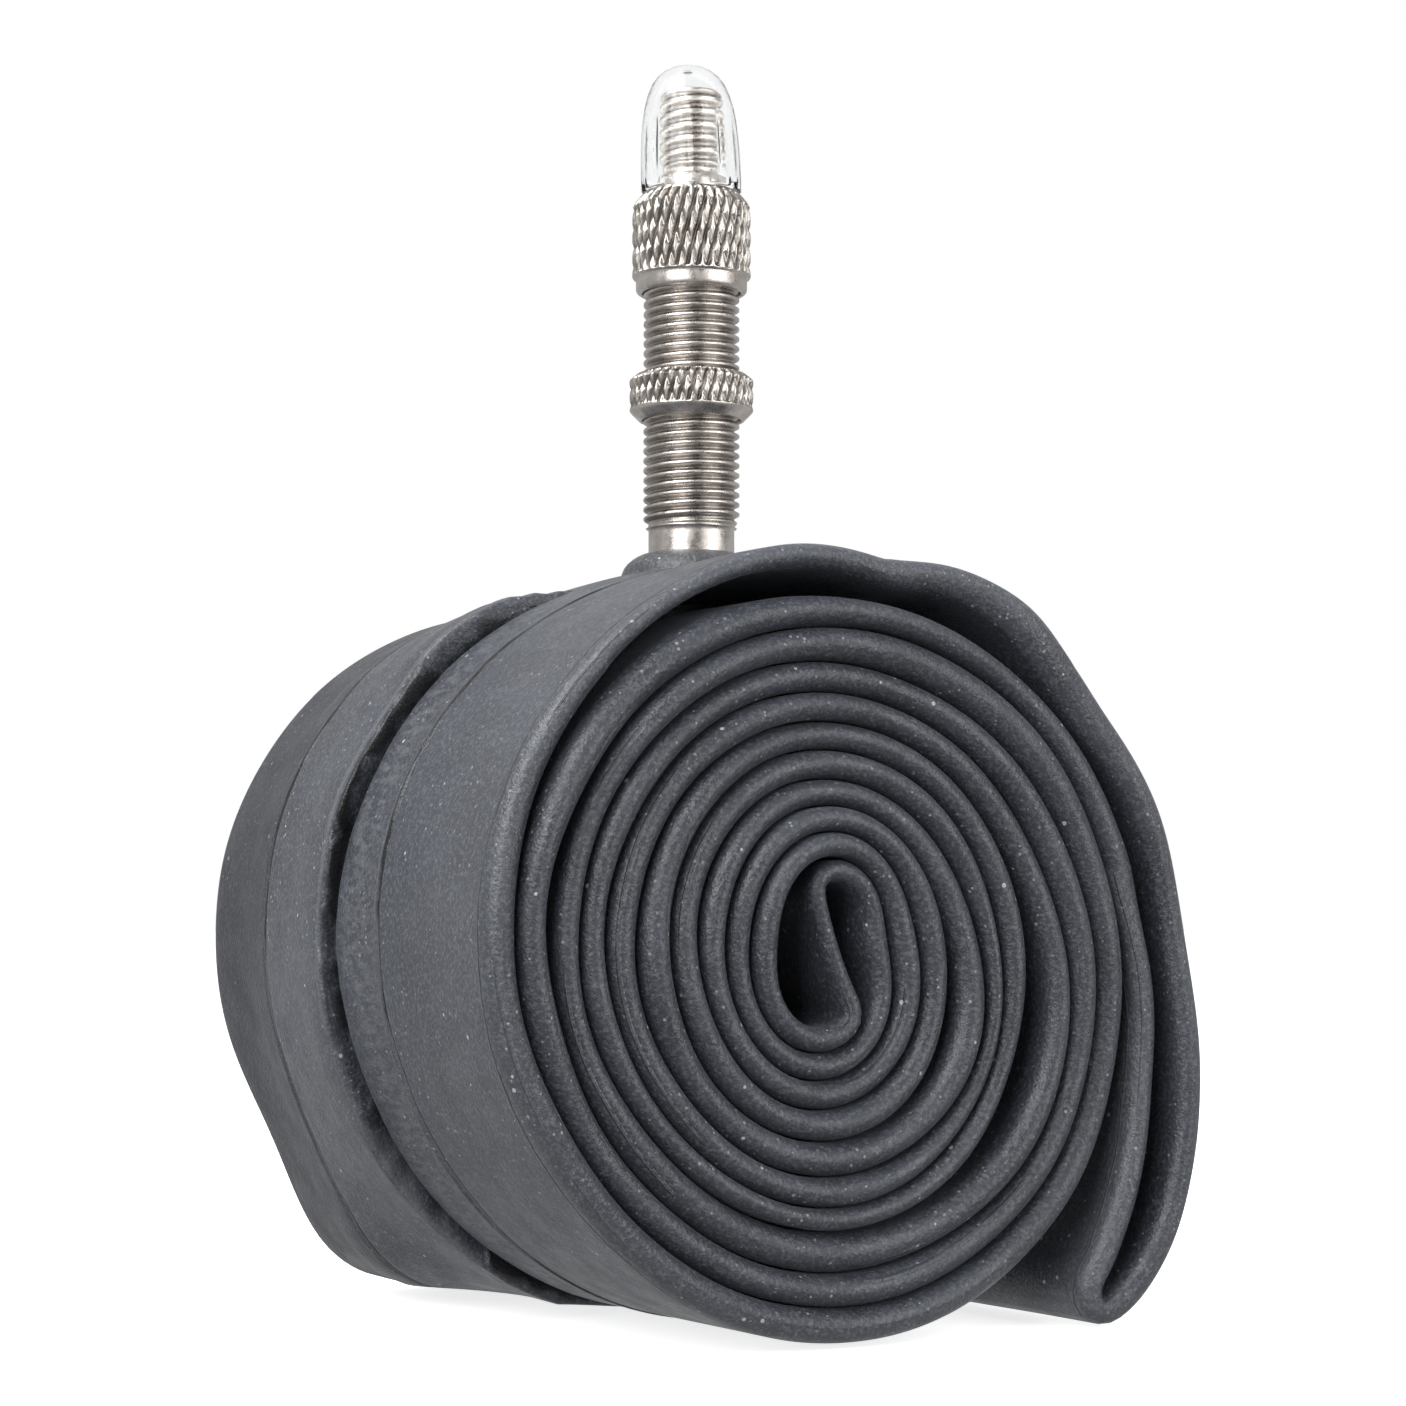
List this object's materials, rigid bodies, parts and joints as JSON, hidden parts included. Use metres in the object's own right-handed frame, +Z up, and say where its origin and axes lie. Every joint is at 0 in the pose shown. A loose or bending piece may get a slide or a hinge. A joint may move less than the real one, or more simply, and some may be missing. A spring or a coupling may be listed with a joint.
{
  "type": "bicycle inner tube",
  "caption": "Deflated bicycle inner tube, pressed flat and rolled up, with a threaded metal valve, rim nut, union nut and clear dust cap.",
  "frame": {"origin": "on the surface the roll rests on, under the valve's axis and half way along the roll", "axes": "+Z up along the valve, towards the dust cap; +Y along the roll, away from the end that shows the spiral; +X to the flap's side"},
  "size_m": [0.0612, 0.0516, 0.0992],
  "materials": {
    "tube_rubber": "matte butyl with fine grain and a soft sheen",
    "pad_rubber": "matte moulded rubber",
    "seal_rubber": "smooth rubber",
    "plated_brass": "nickel plated, satin bright",
    "ball_steel": "polished",
    "clear_plastic": "clear glossy plastic"
  },
  "bodies": {
    "tube_and_stem": {"tube": "tube_rubber", "valve_pad": "pad_rubber", "valve_stem": "plated_brass"},
    "rim_nut": {"rim_nut": "plated_brass"},
    "insert": {"insert_body": "plated_brass", "insert_cage": "plated_brass", "insert_seal": "seal_rubber", "ball_seat_ring": "seal_rubber"},
    "union_nut": {"union_nut": "plated_brass"},
    "ball": {"check_ball": "ball_steel"},
    "dust_cap": {"dust_cap": "clear_plastic"}
  },
  "joints": [
    {"name": "rim_nut_travel", "type": "slide", "parent": "tube_and_stem", "child": "rim_nut", "axis": [0, 0, 1], "range_m": [-0.0103, 0.0065]},
    {"name": "insert_lift", "type": "slide", "parent": "tube_and_stem", "child": "insert", "axis": [0, 0, 1], "range_m": [0, 0.00556]},
    {"name": "union_nut_turn", "type": "hinge", "parent": "insert", "child": "union_nut", "pos_m": [0, 0, 0.085], "axis": [0, 0, 1], "range_deg": [0, 2530]},
    {"name": "ball_lift", "type": "slide", "parent": "insert", "child": "ball", "axis": [0, 0, 1], "range_m": [0, 0.0017]},
    {"name": "cap_lift", "type": "slide", "parent": "insert", "child": "dust_cap", "axis": [0, 0, 1], "range_m": [0, 0.01]}
  ],
  "couplings": [
    {"joint": "union_nut_turn", "follows": "insert_lift", "rad_per_m": 7915.8}
  ]
}
